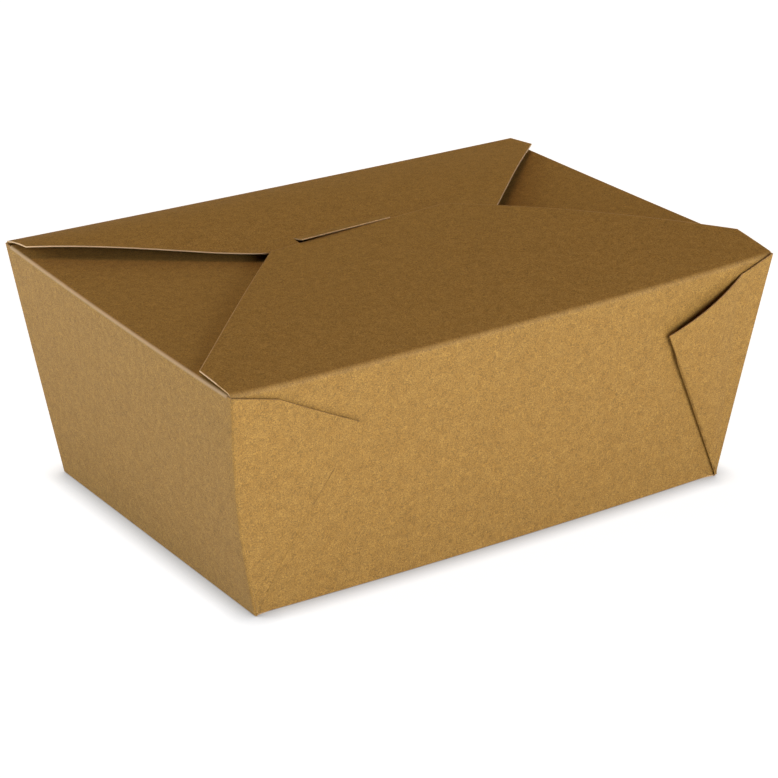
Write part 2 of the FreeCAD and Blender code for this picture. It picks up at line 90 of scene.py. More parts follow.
# %% Camera
AZIMUTH, ELEVATION, ROLL = np.radians([-32.77, 23.18, -0.77])
CAMERA_DISTANCE, CAMERA_RIGHT, CAMERA_UP = 1041.5, 0.22, 31.35
IMAGE_SIZE, FOCAL_PIXELS, SENSOR_MM = 778, 2814.0, 36.0
back = np.array([np.sin(AZIMUTH) * np.cos(ELEVATION), -np.cos(AZIMUTH) * np.cos(ELEVATION),
                 np.sin(ELEVATION)])
level = np.cross(-back, [0, 0, 1])
level /= np.linalg.norm(level)
upright = np.cross(level, -back)
right = np.cos(ROLL) * level + np.sin(ROLL) * upright
up = np.cos(ROLL) * upright - np.sin(ROLL) * level
place = back * CAMERA_DISTANCE + right * CAMERA_RIGHT + up * CAMERA_UP

lens = bpy.data.cameras.new("camera")
lens.sensor_width = SENSOR_MM
lens.lens = FOCAL_PIXELS / IMAGE_SIZE * SENSOR_MM
camera = bpy.data.objects.new("camera", lens)
turn = Matrix(np.column_stack([right, up, back]).tolist()).to_4x4()
camera.matrix_world = Matrix.Translation(Vector(place * MM)) @ turn
bpy.context.scene.collection.objects.link(camera)
bpy.context.scene.camera = camera
print("lens", round(lens.lens, 1), "mm")

# %% [markdown]
# ## Colours and nodes
# Colours are written as sRGB hex values, and one function turns them into the linear values that a
# shader needs. One more small function adds a node: it sets what is named and links what is a socket.


# %% Helpers for materials
def linear(code):
    """sRGB hex to linear: a dark channel over 12.92, else shifted, scaled and to the power 2.4."""
    srgb = np.array([int(code[i:i + 2], 16) for i in (1, 3, 5)]) / 255
    low, high = srgb / 12.92, ((srgb + 0.055) / 1.055) ** 2.4
    return (*np.where(srgb <= 0.04045, low, high).tolist(), 1.0)


def add_node(tree, kind, inputs=None, **settings):
    """A node of that kind, with its settings, its socket values and its links."""
    node = tree.nodes.new(kind)
    for name, value in settings.items():
        setattr(node, name, value)
    for socket, value in (inputs or {}).items():
        if isinstance(value, bpy.types.NodeSocket):
            tree.links.new(value, node.inputs[socket])
        else:
            node.inputs[socket].default_value = value
    return node


def new_material(name):
    """An empty node material and its tree."""
    material = bpy.data.materials.new(name)
    material.use_nodes = True
    material.node_tree.nodes.clear()
    return material, material.node_tree


# %% [markdown]
# ## The table
# The box stands on a plain white table in a studio. A matt white plane alone would read as grey here,
# and more light on it would be too much for the box. So the table glows a little to the camera, and the
# glow fades where the board comes close, which leaves the soft line of shadow round the base.
# A bright table also throws light back at the box from below, and less of it close to the box. That
# light reaches the walls but not the top, and it is why the walls look brighter.

# %% Table
TABLE_SIZE_M, TABLE_WHITE = 12.0, "#f2f2f2"
# to the camera: a darker matt white under a glow, which fades within a few millimetres of the board
SEEN_WHITE, SEEN_GLOW, CONTACT_MM = "#9f9f9f", 0.91, 9.0
# to the box: the light thrown back, weaker inside an oval round the box
CAST_TINT, CAST_NEAR, CAST_FAR = "#f6faff", 0.39, 1.04
OVAL_M, OVAL_INNER = (0.36, 0.32), 0.3
table_mesh = bpy.data.meshes.new("table")
reach = TABLE_SIZE_M / 2
table_mesh.from_pydata([(-reach, -reach, 0), (reach, -reach, 0), (reach, reach, 0), (-reach, reach, 0)],
                       [], [(0, 1, 2, 3)])
table = bpy.data.objects.new("table", table_mesh)
bpy.context.scene.collection.objects.link(table)
material, tree = new_material("matt_white_table")
path = add_node(tree, "ShaderNodeLightPath")
where = add_node(tree, "ShaderNodeTexCoord").outputs["Object"]
scale = (1 / OVAL_M[0], 1 / OVAL_M[1], 0)
scaled = add_node(tree, "ShaderNodeVectorMath", {0: where, 1: scale}, operation="MULTIPLY")
away = add_node(tree, "ShaderNodeVectorMath", {0: scaled.outputs[0]}, operation="LENGTH")
light = add_node(tree, "ShaderNodeMapRange", {"Value": away.outputs["Value"], "From Min": OVAL_INNER,
                                              "From Max": 1.0, "To Min": CAST_NEAR,
                                              "To Max": CAST_FAR})
contact = add_node(tree, "ShaderNodeAmbientOcclusion", {"Distance": CONTACT_MM * MM}, samples=16)
seen = add_node(tree, "ShaderNodeMath", {0: contact.outputs["AO"], 1: SEEN_GLOW}, operation="MULTIPLY")
white = add_node(tree, "ShaderNodeMix", {0: path.outputs["Is Camera Ray"], 6: linear(TABLE_WHITE),
                                         7: linear(SEEN_WHITE)}, data_type="RGBA")
matt = add_node(tree, "ShaderNodeBsdfDiffuse", {"Color": white.outputs[2]})
glow = add_node(tree, "ShaderNodeEmission", {"Color": (1, 1, 1, 1), "Strength": seen.outputs[0]})
cast = add_node(tree, "ShaderNodeEmission", {"Color": linear(CAST_TINT), "Strength": light.outputs[0]})
emit = add_node(tree, "ShaderNodeMixShader", {0: path.outputs["Is Camera Ray"], 1: cast.outputs[0],
                                              2: glow.outputs[0]})
both = add_node(tree, "ShaderNodeAddShader", {0: matt.outputs[0], 1: emit.outputs[0]})
add_node(tree, "ShaderNodeOutputMaterial", {"Surface": both.outputs[0]})
table_mesh.materials.append(material)
print("table", TABLE_SIZE_M, "m wide")

# %% [markdown]
# ## World and lamps
# Behind the table the camera sees a plain white world. It gives no light, so all light on the box comes
# from the lamps and the table. Sun lamps would draw hard shadows, and the box shows only soft ones, so
# these are large squares. The front lamp and the left one are slightly cool and light the walls. The two
# behind and above are warm and weak, which keeps the top darker and browner.

# %% World
world = bpy.data.worlds.new("studio")
bpy.context.scene.world = world
world.use_nodes = True
world.node_tree.nodes.clear()
path = add_node(world.node_tree, "ShaderNodeLightPath")
dark = add_node(world.node_tree, "ShaderNodeBackground", {"Color": (0, 0, 0, 1), "Strength": 1.0})
white = add_node(world.node_tree, "ShaderNodeBackground", {"Color": (1, 1, 1, 1), "Strength": 1.0})
mixed = add_node(world.node_tree, "ShaderNodeMixShader",
                 {0: path.outputs["Is Camera Ray"], 1: dark.outputs[0], 2: white.outputs[0]})
add_node(world.node_tree, "ShaderNodeOutputWorld", {"Surface": mixed.outputs[0]})
bpy.context.scene.view_settings.view_transform = "Standard"


# %% Lamps
LAMP_DISTANCE_M, LAMP_SIZE_M, AIM_HEIGHT_M = 1.7, 0.9, 0.04


def add_lamp(name, azimuth, elevation, watts, colour):
    """A square lamp that looks at the box from an azimuth and an elevation in degrees."""
    light = bpy.data.lights.new(name, "AREA")
    light.size = LAMP_SIZE_M
    light.energy = watts
    light.color = linear(colour)[:3]
    lamp = bpy.data.objects.new(name, light)
    a, e = np.radians([azimuth, elevation])
    aim = Vector((np.sin(a) * np.cos(e), -np.cos(a) * np.cos(e), np.sin(e)))
    lamp.location = aim * LAMP_DISTANCE_M + Vector((0, 0, AIM_HEIGHT_M))
    lamp.rotation_mode = "QUATERNION"
    lamp.rotation_quaternion = aim.to_track_quat("Z", "Y")
    bpy.context.scene.collection.objects.link(lamp)
    print(name, "at", [round(v, 2) for v in lamp.location])


add_lamp("front_lamp", 0, 12, 25.3, "#eff3ff")
add_lamp("left_lamp", -120, 20, 15.4, "#e6f0fa")
add_lamp("top_lamp", 150, 78, 5.6, "#ffcba6")
add_lamp("back_lamp", 150, 25, 5.4, "#ffdf86")

# %% [markdown]
# ## Kraft board
# Kraft board is long brown wood fibre, pressed wet between felts and left uncoated. That gives a matt
# surface with a slight sheen, clouds where the fibres lie thick or thin, short fibres that catch the
# light and a few dark specks. Cut edges and worn folds are paler, because there the fibres stand open.
# On the folds the pale colour is also a painted highlight, for the light that a fold catches.
# A picture of board could be laid over the sheet, but it would repeat and stretch at the folds. So the
# clouds and fibres are a few noises on Object coordinates, which run on over every fold.
# Real fibres are about 0.03 mm thick and 2 to 4 mm long, and the tooth of the felt is about 0.1 mm. Both
# are far too fine to show from a metre away, so they are drawn coarser here: fibres 0.8 mm and a tooth of
# 0.45 mm. The clouds are a real 3 mm, as long as the fibres that make them.

# %% Kraft board material
CLOUD_MM, FIBRE_MM, SPECK_MM, TOOTH_MM = 3.0, 0.8, 4.0, 0.45
KRAFT, KRAFT_DARK, KRAFT_LIGHT = "#9e7631", "#946c29", "#a8803a"
# the pale colour of rubbed edges and folds; on the folds it is also a painted highlight
WEAR_AND_HIGHLIGHT_COLOUR, CUT, SPECK = "#dfbd90", "#c09a66", "#6e5230"
# cellulose bends light by about 1.47, and open fibres scatter the sheen widely
IOR, ROUGHNESS = 1.47, 0.74
# how much darker or lighter a fibre is than its ground, and how far the tooth stands out
FIBRE_DARK, FIBRE_LIGHT = 0.68, 1.32
RELIEF_MM, RELIEF_STRENGTH = 0.08, 0.42


def per_metre(size_mm):
    """The scale of a noise whose features are that many millimetres across."""
    return 1 / (size_mm * MM)


def make_kraft(name, ground, dark, light):
    """Kraft board: clouds of two tones, fibres, specks, rubbing, a painted fold highlight and a fine
    tooth.
    """
    material, tree = new_material(name)
    where = add_node(tree, "ShaderNodeTexCoord").outputs["Object"]
    cloud = add_node(tree, "ShaderNodeTexNoise", {"Vector": where, "Scale": per_metre(CLOUD_MM),
                                                  "Detail": 4.0, "Roughness": 0.62})
    cloud_share = add_node(tree, "ShaderNodeMapRange", {"Value": cloud.outputs[0], "From Min": 0.36,
                                                        "From Max": 0.64})
    tone = add_node(tree, "ShaderNodeMix", {0: cloud_share.outputs[0], 6: linear(dark),
                                            7: linear(light)}, data_type="RGBA")
    tone = add_node(tree, "ShaderNodeMix", {0: 0.5, 6: linear(ground), 7: tone.outputs[2]},
                    data_type="RGBA")
    fibre = add_node(tree, "ShaderNodeTexNoise", {"Vector": where, "Scale": per_metre(FIBRE_MM),
                                                  "Detail": 2.0, "Distortion": 2.5})
    fibre_share = add_node(tree, "ShaderNodeMapRange", {"Value": fibre.outputs[0], "From Min": 0.40,
                                                        "From Max": 0.62, "To Min": FIBRE_DARK,
                                                        "To Max": FIBRE_LIGHT})
    tone = add_node(tree, "ShaderNodeMix", {0: 1.0, 6: tone.outputs[2], 7: fibre_share.outputs[0]},
                    data_type="RGBA", blend_type="MULTIPLY")
    speck = add_node(tree, "ShaderNodeTexVoronoi", {"Vector": where, "Scale": per_metre(SPECK_MM)})
    speck_share = add_node(tree, "ShaderNodeMapRange", {"Value": speck.outputs["Distance"],
                                                        "From Min": 0.05, "From Max": 0.13,
                                                        "To Min": 0.35, "To Max": 0.0})
    tone = add_node(tree, "ShaderNodeMix", {0: speck_share.outputs[0], 6: tone.outputs[2],
                                            7: linear(SPECK)}, data_type="RGBA")
    # paler where the board is rubbed, and along the folds a painted highlight
    pale_wear_and_highlight = add_node(tree, "ShaderNodeAttribute", attribute_name="pale_wear_and_highlight")
    tone = add_node(tree, "ShaderNodeMix", {0: pale_wear_and_highlight.outputs["Fac"], 6: tone.outputs[2],
                                            7: linear(WEAR_AND_HIGHLIGHT_COLOUR)}, data_type="RGBA")
    tooth = add_node(tree, "ShaderNodeTexNoise", {"Vector": where, "Scale": per_metre(TOOTH_MM),
                                                  "Detail": 3.0})
    relief = add_node(tree, "ShaderNodeMath", {0: tooth.outputs[0], 1: fibre.outputs[0]},
                      operation="ADD")
    bump = add_node(tree, "ShaderNodeBump", {"Height": relief.outputs[0],
                                             "Strength": RELIEF_STRENGTH, "Distance": RELIEF_MM * MM})
    shader = add_node(tree, "ShaderNodeBsdfPrincipled",
                      {"Base Color": tone.outputs[2], "Normal": bump.outputs[0],
                       "Roughness": ROUGHNESS, "IOR": IOR})
    add_node(tree, "ShaderNodeOutputMaterial", {"Surface": shader.outputs[0]})
    return material


kraft_face = make_kraft("uncoated_kraft_board", KRAFT, KRAFT_DARK, KRAFT_LIGHT)
kraft_edge = make_kraft("die_cut_kraft_edge", CUT, CUT, CUT)
print("kraft finishes:", kraft_face.name, kraft_edge.name)

# %% [markdown]
# ## A sheet of board
# Every piece here is a sheet, so one function makes them all. It takes a grid of points on the outer
# face and gives it the board's thickness on the inner side. A Solidify modifier could do that too, but
# then the cut edge would share the face's material, and on kraft board the cut edge is what shows
# lightest. So the edge faces are made here and get a material slot of their own.


# %% Board from a grid
def corner_normals(points, faces):
    """The unit normal at each point: the area-weighted sum of its faces' cross products."""
    a, b, c, d = (points[faces[:, i]] for i in range(4))
    across = np.cross(c - a, d - b)
    normals = np.zeros_like(points)
    for i in range(4):
        np.add.at(normals, faces[:, i], across)
    return normals / np.maximum(np.linalg.norm(normals, axis=1, keepdims=True), 1e-12)


def sheet_faces(grid, keep=None):
    """The quads of a grid of points, as rows of four numbers."""
    rows, columns = grid.shape[:2]
    index = np.arange(rows * columns).reshape(rows, columns)
    quads = np.stack([index[:-1, :-1], index[:-1, 1:], index[1:, 1:], index[1:, :-1]], axis=-1)
    return quads.reshape(-1, 4) if keep is None else quads[keep]


def edge_runs(faces):
    """Every edge of every face, as its two points in the direction that the face runs along it."""
    return np.stack([faces, np.roll(faces, -1, axis=1)], axis=-1).reshape(-1, 2)


def weld(grids, outward, keep=None):
    """One set of points and faces from grids that share edges, each turned to agree with those before.

    Two neighbouring faces agree when they run along their shared edge in opposite directions.
    """
    points = np.concatenate([grid.reshape(-1, 3) for grid in grids])
    _, first, joined = np.unique(points.round(4), axis=0, return_index=True, return_inverse=True)
    joined = joined.reshape(-1)
    points = points[first]
    faces, start, placed = [], 0, np.zeros(0, int)
    for grid in grids:
        part = joined[sheet_faces(grid, keep) + start]
        start += grid.shape[0] * grid.shape[1]
        runs = edge_runs(part) @ [len(points), 1]
        if not len(placed):
            flip = corner_normals(points, part).sum(axis=0) @ np.asarray(outward, float) < 0
        else:
            flip = np.isin(runs, placed).any()
        if flip:
            part = part[:, ::-1]
            runs = edge_runs(part) @ [len(points), 1]
        placed = np.concatenate([placed, runs])
        faces.append(part)
    return points, np.concatenate(faces), joined


def make_board(name, grids, outward, keep=None, wear_and_highlight=None):
    """A closed sheet. Its outer face is the grids, its inner face the same less normal times board.

    grids are rows x columns x 3 in mm, outward a rough direction of the first grid's outer face, keep a
    mask of the faces that stay, and wear how pale each point is, 0 to 1: rubbed, and on folds also a
    painted highlight.
    """
    grids = [grids] if isinstance(grids, np.ndarray) else grids
    outer, faces, joined = weld(grids, outward, keep)
    pale_wear_and_highlight = np.zeros(len(outer))
    if wear_and_highlight is not None:
        np.maximum.at(pale_wear_and_highlight, joined, np.concatenate([np.reshape(part, -1) for part in wear_and_highlight]))
    normals = corner_normals(outer, faces)
    inner = outer - normals * BOARD
    count = len(outer)

    # the cut edge: the edges that only one face has, each joined to its copy on the inner side
    edges = edge_runs(faces)
    key = np.sort(edges, axis=1) @ [count, 1]
    _, first, times = np.unique(key, return_index=True, return_counts=True)
    rim = edges[first[times == 1]]
    cut = np.stack([rim[:, 1], rim[:, 0], rim[:, 0] + count, rim[:, 1] + count], axis=1)
    all_faces = np.concatenate([faces, faces[:, ::-1] + count, cut])
    slots = np.repeat([0, 1], [2 * len(faces), len(cut)])

    points = np.concatenate([outer, inner]) * MM
    used = np.unique(all_faces)
    renumber = np.zeros(len(points), int)
    renumber[used] = np.arange(len(used))
    mesh = bpy.data.meshes.new(name)
    mesh.from_pydata(points[used].tolist(), [], renumber[all_faces].tolist())
    mesh.polygons.foreach_set("material_index", slots)
    mesh.polygons.foreach_set("use_smooth", slots == 0)
    # how pale each point is: rubbing, and on folds a painted highlight, read by the material
    layer = mesh.attributes.new("pale_wear_and_highlight", "FLOAT", "POINT")
    layer.data.foreach_set("value", np.tile(pale_wear_and_highlight, 2)[used].astype(np.float32))
    mark_sharp(mesh)
    piece = bpy.data.objects.new(name, mesh)
    bpy.context.scene.collection.objects.link(piece)
    for finish in (kraft_face, kraft_edge):
        mesh.materials.append(finish)
    print(name, len(mesh.polygons), "faces")
    return piece


def mark_sharp(mesh):
    """Marks the edges where a cut edge meets a face as sharp, so that faces shade flat up to them."""
    loops = np.zeros(len(mesh.loops), int)
    mesh.loops.foreach_get("edge_index", loops)
    slots = np.zeros(len(mesh.polygons), int)
    mesh.polygons.foreach_get("material_index", slots)
    sizes = np.zeros(len(mesh.polygons), int)
    mesh.polygons.foreach_get("loop_total", sizes)
    slot_of_loop = np.repeat(slots, sizes)
    faces_round = np.bincount(loops, minlength=len(mesh.edges))
    cuts_round = np.bincount(loops, weights=slot_of_loop, minlength=len(mesh.edges))
    mesh.edges.foreach_set("use_edge_sharp", (cuts_round > 0) & (cuts_round < faces_round))


# %% [markdown]
# ## How the folded box has settled
# A folded carton is never quite its drawing. Here the rim stands higher at the back left and sinks in
# the middle of the front, the front wall bellies out a little, and the near left corner bows outwards.
# Each of these is a smooth field over the box, zero where the drawing holds, so sheets that touch stay
# together. A cloth simulation could find such shapes too, but it wouldn't give the ones that this box
# took. The amounts are what the photograph shows, in millimetres.

# %% Settling fields
FRONT_BELLY, LEFT_CORNER_BOW, RIGHT_CORNER_OUT = 1.9, 2.3, 1.2
# the corners' fields start at this x and are full after the second distance
CORNER_FROM, CORNER_FADE = 55, 40
# level, tilt and bend of the rim of the left and of the right short wall, over this half width
END_RISE = {-1: (0.05, 1.85, 0.95), 1: (0.6, -0.2, 0.0)}
END_HALF = 80
BACK_RISE, BACK_RISE_TILT, BACK_RISE_BEND = 1.7, -1.3, 0.3
FRONT_SAG, FRONT_LIFT_LEFT, FRONT_LIFT_RIGHT = -1.6, 1.3, 1.9


def bow_out(points):
    """The belly of the front wall, the bow of the near left corner and the lean of the near right one.

    The belly is its depth times one less (x over half the length) squared, times one less (z over the
    height) squared. The bow is a half sine up the edge, fading to the back and to the middle.
    """
    x, y, z = np.moveaxis(points, -1, 0)
    front = np.clip(-y / LONG_FACE, 0, 1) ** 2
    up = np.clip(z / RIM_HEIGHT, 0, 1)
    belly = FRONT_BELLY * np.clip(1 - (2 * x / BASE_LENGTH) ** 2, 0, 1) * (1 - up ** 2) * front
    near = np.clip((LONG_FACE - y) / (2 * LONG_FACE), 0, 1) ** 2
    left, right_end = (np.clip((sign * x - CORNER_FROM) / CORNER_FADE, 0, 1) for sign in (-1, 1))
    left, right_end = (share ** 2 * (3 - 2 * share) for share in (left, right_end))
    bow = LEFT_CORNER_BOW * np.sin(np.pi * up) * near * left
    shift = RIGHT_CORNER_OUT * up ** 2 * near * right_end - bow
    return points + np.stack([shift, -belly, np.zeros_like(z)], axis=-1)


def end_settle(points):
    """The short walls' rims: a rise quadratic in y, growing with the square of the height."""
    x, y, z = np.moveaxis(points, -1, 0)
    share = y / END_HALF
    left, right_end = (level + tilt * share + bend * share ** 2 for level, tilt, bend in
                       (END_RISE[-1], END_RISE[1]))
    rise = np.where(x < 0, left, right_end) * (z / RIM_HEIGHT) ** 2
    return bow_out(points + np.stack([0 * z, 0 * z, rise], axis=-1))


def back_crease_height(x):
    """The top of the back crease, as a level, a tilt and a bend along x."""
    share = x / 100
    return RIM_HEIGHT + LAYER + BACK_RISE + BACK_RISE_TILT * share + BACK_RISE_BEND * share ** 2


def front_crease_height(x):
    """The top of the front crease: a sag in the middle that lifts to both corners by powers of x."""
    share = np.abs(x) / CREASE_HALF
    lift = np.where(x < 0, FRONT_LIFT_LEFT * share ** 6, FRONT_LIFT_RIGHT * share ** 2.5)
    return RIM_HEIGHT + LAYER + FRONT_SAG + lift


samples = np.array([-105.0, 0.0, 105.0])
print("front crease", front_crease_height(samples).round(2), "back crease",
      back_crease_height(samples).round(2))

# %% [markdown]
# ## Wall profile and base
# All four walls share one profile: an arc out of the base that touches the leaning wall, then the wall.
# A Bevel modifier could round the fold of a plain box, but the walls bow and the webs must meet them
# exactly, so the profile is worked out and every piece takes its points from it.
# The base is the flat part between the four folds. At the corners it widens to meet the short walls.

# %% Wall profile and base
FOLD_RADIUS = 0.9
FOLD_STEPS = 6


def wall_reach(z, lean, half):
    """How far out a leaning wall is at height z, with its base fold as an arc that touches the wall."""
    slant = np.hypot(1, lean)
    centre = half + lean * FOLD_RADIUS - FOLD_RADIUS * slant
    low = np.clip(FOLD_RADIUS - z, 0, FOLD_RADIUS)
    arc = centre + np.sqrt(FOLD_RADIUS ** 2 - low ** 2)
    return np.where(z < FOLD_RADIUS * (1 - lean / slant), arc, half + lean * z)


def wall_heights(top, count):
    """Heights from the table to the top, close together in the base fold."""
    fold = FOLD_RADIUS * (1 - np.cos(np.linspace(0, np.pi / 2, FOLD_STEPS + 1)))
    return np.concatenate([fold[:-1], np.linspace(FOLD_RADIUS, top, count)])


RIDGE_RADIUS = 1.2
SLANT_X = np.hypot(1, LEAN_X)
TRAY_HEIGHT = RIM_HEIGHT - RIDGE_RADIUS * (1 + LEAN_X / SLANT_X)

BASE_CORNER = 8
fit = BASE_LENGTH / 2 - FOLD_RADIUS, BASE_WIDTH / 2 - FOLD_RADIUS
x, y = np.meshgrid(np.linspace(-fit[0], fit[0], 60), np.linspace(-1, 1, 40))
long_edge = LONG_FACE - FOLD_RADIUS
corner = np.clip((np.abs(x) - fit[0] + BASE_CORNER) / BASE_CORNER, 0, 1)
y = y * (long_edge + (fit[1] - long_edge) * corner)
base = make_board("base_panel", bow_out(np.stack([x, y, 0 * x], axis=-1)), (0, 0, -1))
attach(base, "carton")
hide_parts("carton")


# %% [markdown]
# ## Long walls, creases and top flaps
# A long wall, its crease and its flap are one strip of board. Going up the strip there is the base
# fold, a straight wall that lies behind the webs, an arc over the crease and then the flap. A box with a
# lid laid on it would be simpler, but it would show a seam where the real board runs on. So a few
# functions give the strip's section at every x, and both the front and the back use them.

# %% Flap surfaces
# the y of the front flap's rear edge, of the back flap's tip and of the line where the tab starts
REAR_Y, TIP_Y = 20.4, 2.7
SLIT_GAP, TAB_LENGTH = 0.3, 5.7
LOCK_Y = REAR_Y + SLIT_GAP + TAB_LENGTH
BACK_Y = LONG_FACE + LEAN_Y * (RIM_HEIGHT + LAYER) - CREASE_INSET
# the height of the lock line, its tilt per 100 mm, and how the back flap goes on to its tip
LOCK_LEVEL, LOCK_TILT, TIP_STEP, TIP_STEP_X, LOCK_SOFTNESS = 89.77, 3.9, 0.9, 50, 0.12
# how far each flap bows upwards at its left and at its right
BACK_BOW, FRONT_BOW = (4.8, -0.2), (2.6, 2.7)
ARC_ROWS = 16


def between(pair, x):
    """The value at x on a line from the left edge's value to the right edge's."""
    return pair[0] + (pair[1] - pair[0]) * (x + CREASE_HALF) / (2 * CREASE_HALF)


def back_flap_height(x, y):
    """The back flap's top: a bowed chord from its crease to the lock line, then straight to its tip.

    Its share of the way to the lock line levels off softly: one less half of (rest + root of rest squared
    and softness squared).
    """
    crease = back_crease_height(x)
    lock = LOCK_LEVEL + LOCK_TILT * x / 100
    left_over = 1 - (BACK_Y - y) / (BACK_Y - LOCK_Y)
    share = 1 - (np.hypot(left_over, LOCK_SOFTNESS) + left_over) / 2
    behind = crease + (lock - crease) * share + 4 * between(BACK_BOW, x) * share * (1 - share)
    past = np.clip((LOCK_Y - y) / (LOCK_Y - TIP_Y), 0, None)
    return behind + TIP_STEP * past * np.clip(x / TIP_STEP_X, -1, 1)


def rear_height(x):
    """The front flap's top at its rear edge, one layer above the back flap."""
    return back_flap_height(x, REAR_Y) + LAYER


def fold(crease_top, radius, base_out, end_out, end_top, bow):
    """The centre of the crease's arc, the height where it leaves the wall, and the flap's first slope.

    The arc touches the wall and the flap. The flap's first slope is chord plus four bows over its run.
    """
    centre_z = crease_top - radius
    wall_top = centre_z - radius * LEAN_Y / SLANT_Y
    centre_out = base_out + LEAN_Y * wall_top - radius / SLANT_Y
    slope = np.arctan((end_top - crease_top + 4 * bow) / (centre_out - end_out))
    return centre_out, centre_z, wall_top, slope


def wall_and_arc(rows, crease_top, radius, base_out, *flap):
    """The wall and the crease's arc at each x, as distances outward and heights."""
    centre_out, centre_z, wall_top, slope = fold(crease_top, radius, base_out, *flap)
    wall_z = rows[:, None] * wall_top
    lean = np.arctan(LEAN_Y)
    bend = -lean + np.linspace(0, 1, ARC_ROWS)[:, None] * (np.pi / 2 - slope + lean)
    arc = centre_out + radius * np.cos(bend), centre_z + radius * np.sin(bend)
    return (wall_reach(wall_z, LEAN_Y, base_out), wall_z), arc


def flap_run(share, crease_top, radius, base_out, end_out, end_top, bow):
    """The flap at each share of its way: a chord from the arc's end plus a parabola of height bow."""
    centre_out, centre_z, _, slope = fold(crease_top, radius, base_out, end_out, end_top, bow)
    root_out, root_z = centre_out + radius * np.sin(slope), centre_z + radius * np.cos(slope)
    return (root_out + (end_out - root_out) * share,
            root_z + (end_top - root_z) * share + 4 * bow * share * (1 - share))


print("front flap's rear edge at", rear_height(np.array([-37.0, 0.0, 39.0])).round(2))

# %% [markdown]
# ## Front wall, crease and flap
# The front strip has to open at the hinge. It could be one piece on the flap's body, but then the wall
# would swing with it. So it is cut in three: the wall stays with the carton, the flap turns with the
# hinge, and a short strip over the crease is a piece of its own between them.
# The flap's slanted edges are die-cut and rubbed pale, so its outermost column of points is worn.

# %% Front strip
FRONT_RADIUS = 1.9
# the flap is square up to its shoulder, and then it narrows to the x of its two tips
FRONT_SHOULDER, FRONT_TIPS = 18.3, (-35.4, 38.6)
# the crease strip starts at this share of the wall's height and ends this far along the flap
CREASE_WALL_SHARE, CREASE_FLAP_MM, CREASE_REACH = 0.93, 7.0, 6.0
# the crease's faint pale band is partly rubbing and partly a painted highlight
EDGE_WEAR, EDGE_MM, CREASE_WEAR_AND_HIGHLIGHT = 0.8, 0.45, 0.06


def edges_of_flap(along, shoulder, length, ends, tips):
    """The left and right x of a flap: square to its shoulder, then slanting to its two tips."""
    share = np.clip((along - shoulder) / (length - shoulder), 0, 1)
    return [end + (tip - end) * share for end, tip in zip(ends, tips)]


FRONT_RUN = REAR_Y - hinge[1]
across = np.concatenate([[0], np.linspace(0.002, 0.998, 108), [1]])
x_line = FRONT_ENDS[0] + (FRONT_ENDS[1] - FRONT_ENDS[0]) * across
crease_foot = RIM_HEIGHT * CREASE_WALL_SHARE
wall_rows = np.concatenate([wall_heights(crease_foot, 40),
                            np.linspace(crease_foot, RIM_HEIGHT, 8)[1:]]) / RIM_HEIGHT
crease_rows = np.linspace(0, CREASE_FLAP_MM / FRONT_RUN, 8)
flap_rows = np.unique(np.concatenate([crease_rows, np.linspace(crease_rows[-1], 1, 60),
                                      [FRONT_SHOULDER / FRONT_RUN, 1 - EDGE_MM / FRONT_RUN]]))


def front_shape(x):
    """What the front strip's fold and flap need at each x."""
    return (front_crease_height(x), FRONT_RADIUS, LONG_FACE, -REAR_Y, rear_height(x),
            between(FRONT_BOW, x))


def wall_x(z, ends):
    """The x of a long wall's columns: just inside the short walls, and out to the crease's ends above."""
    half = BASE_LENGTH / 2 + LEAN_X * z - LAYER
    left, right_end = np.maximum(-half, ends[0]), np.minimum(half, ends[1])
    return left + (right_end - left) * across


def strip_points(x, out, z, sign):
    """Points from x, distance outward and height, on the side that sign names."""
    return np.stack([np.broadcast_to(x, out.shape), sign * out, z], axis=-1)


# %% Front wall
(wall_out, wall_z), (arc_out, arc_z) = wall_and_arc(wall_rows, *front_shape(x_line))
low = np.count_nonzero(wall_rows <= CREASE_WALL_SHARE + 1e-9)
x_wall = wall_x(wall_z, FRONT_ENDS)
wall_grid = bow_out(strip_points(x_wall, wall_out, wall_z, -1))
front_wall = make_board("front_wall", wall_grid[:low], (0, -1, 0))
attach(front_wall, "carton")

# %% Front crease and flap
flap_along = flap_rows * FRONT_RUN
left_x, right_x = edges_of_flap(flap_along, FRONT_SHOULDER, FRONT_RUN, FRONT_ENDS, FRONT_TIPS)
x_flap = left_x[:, None] + (right_x - left_x)[:, None] * across
flap_grid = strip_points(x_flap, *flap_run(flap_rows[:, None], *front_shape(x_flap)), -1)
root = np.count_nonzero(flap_rows <= crease_rows[-1] + 1e-9)
arc_grid = strip_points(x_line, arc_out, arc_z, -1)
crease_grid = np.concatenate([wall_grid[low - 1:-1], arc_grid[:-1], flap_grid[:root]])
# a faint pale band along the crease's arc: rubbing and a painted highlight
crease_wear_and_highlight = np.zeros(crease_grid.shape[:2])
first_arc = len(wall_grid) - low
arc_wear_and_highlight = CREASE_WEAR_AND_HIGHLIGHT * np.sin(np.linspace(0, np.pi, len(arc_grid)))
crease_wear_and_highlight[first_arc:first_arc + len(arc_grid)] = arc_wear_and_highlight[:, None]
crease = make_board("front_crease", crease_grid, (0, -1, 1), wear_and_highlight=[crease_wear_and_highlight])
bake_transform(crease)
flap_wear_and_highlight = np.zeros(flap_grid[root - 1:].shape[:2])
flap_wear_and_highlight[-1] = EDGE_WEAR / 2
flap_wear_and_highlight[:, [0, -1]] = EDGE_WEAR
front_flap = make_board("front_flap_sheet", flap_grid[root - 1:], (0, 0, 1), wear_and_highlight=[flap_wear_and_highlight])
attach(front_flap, "front_flap")
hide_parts("front_flap")

# %% [markdown]
# ## Tongue
# The tongue stands on the flap's rear edge. It goes down through the back flap's slit and lies under it,
# which keeps the box shut. It could be a part of the flap's own grid, but the flap narrows to its edge in
# straight lines and the tongue has round corners, so it is a grid of its own that starts at that edge.

# %% Tongue
TONGUE_LENGTH, TONGUE_WIDTH, TONGUE_OFFSET, TONGUE_CORNER = 12.0, 28.0, 1.9, 3.0


